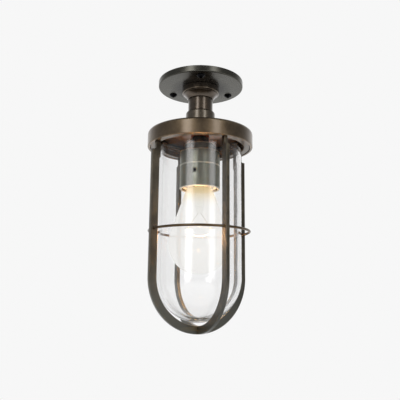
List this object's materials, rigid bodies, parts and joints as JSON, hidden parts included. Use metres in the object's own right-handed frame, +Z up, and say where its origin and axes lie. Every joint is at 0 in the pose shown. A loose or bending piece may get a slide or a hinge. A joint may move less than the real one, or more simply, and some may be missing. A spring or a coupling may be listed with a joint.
{
  "type": "porch ceiling lantern",
  "caption": "Ceiling lantern with a round plate, a turned neck, a lipped cap, and a clear well glass in a barred guard that unscrews to reach the bulb.",
  "frame": {"origin": "centre of the ceiling plate's mounting face", "axes": "+Z up towards the ceiling, so the lantern hangs towards -Z; -Y is the front"},
  "size_m": [0.105, 0.105, 0.2545],
  "materials": {
    "plate_brass": "dark bronzed brass, turned and lightly brushed",
    "neck_brass": "dark bronzed brass, turned, with worn highlights",
    "cap_brass": "weathered brass, brown patina",
    "guard_brass": "weathered brass, brown-black patina",
    "rod_brass": "plain machined brass",
    "contact_brass": "bright pressed brass",
    "black_steel": "blackened steel, satin",
    "zinc_steel": "zinc-plated steel",
    "nickel": "antique nickel plate on brass, satin",
    "fibre": "red-brown vulcanised fibre",
    "seal_rubber": "black moulded rubber",
    "clear_glass": "clear mould-blown glass",
    "bulb_glass": "clear thin blown glass",
    "steatite": "glazed cream steatite, a ceramic",
    "vitrite": "black vitrite glass",
    "bulb_cap_metal": "pressed nickelled brass",
    "solder": "tinned contact",
    "lead_wire": "drawn nickel wire",
    "filament": "coiled tungsten, lit warm white"
  },
  "bodies": {
    "root": {"cap": "cap_brass", "cap_nut": "black_steel", "cap_washer": "fibre", "ceiling_plate": "plate_brass", "centre_contact": "contact_brass", "earth_screw": "rod_brass", "fixing_screws": "black_steel", "glass_seal": "seal_rubber", "hollow_rod": "rod_brass", "lampholder_cap": "nickel", "lampholder_grub_screw": "black_steel", "lampholder_insulator": "steatite", "lampholder_skirt": "nickel", "neck_boss": "neck_brass", "neck_collar": "neck_brass", "neck_cup": "neck_brass", "neck_tube": "neck_brass", "rod_top_nut": "zinc_steel", "rod_top_washer": "zinc_steel", "screw_shell": "contact_brass", "terminal_screws": "rod_brass"},
    "glass": {"well_glass": "clear_glass"},
    "guard": {"guard_collar": "guard_brass", "guard_hoop_a": "guard_brass", "guard_hoop_b": "guard_brass", "guard_wire_ring": "guard_brass"},
    "bulb": {"bulb_cap": "bulb_cap_metal", "bulb_cap_insulator": "vitrite", "bulb_envelope": "bulb_glass", "bulb_filament": "filament", "bulb_lead_wires": "lead_wire", "bulb_stem": "bulb_glass", "bulb_tip_contact": "solder"}
  },
  "joints": [
    {"name": "glass_feed", "type": "slide", "parent": "root", "child": "glass", "axis": [0, 0, -1], "range_m": [0, 0.006]},
    {"name": "guard_turn", "type": "hinge", "parent": "glass", "child": "guard", "pos_m": [0, 0, -0.067], "axis": [0, 0, -1], "range_deg": [0, 1440]},
    {"name": "bulb_withdraw", "type": "slide", "parent": "root", "child": "bulb", "axis": [0, 0, -1], "range_m": [0, 0.022]}
  ],
  "couplings": [
    {"joint": "glass_feed", "follows": "guard_turn", "m_per_rad": 0.0002387}
  ]
}
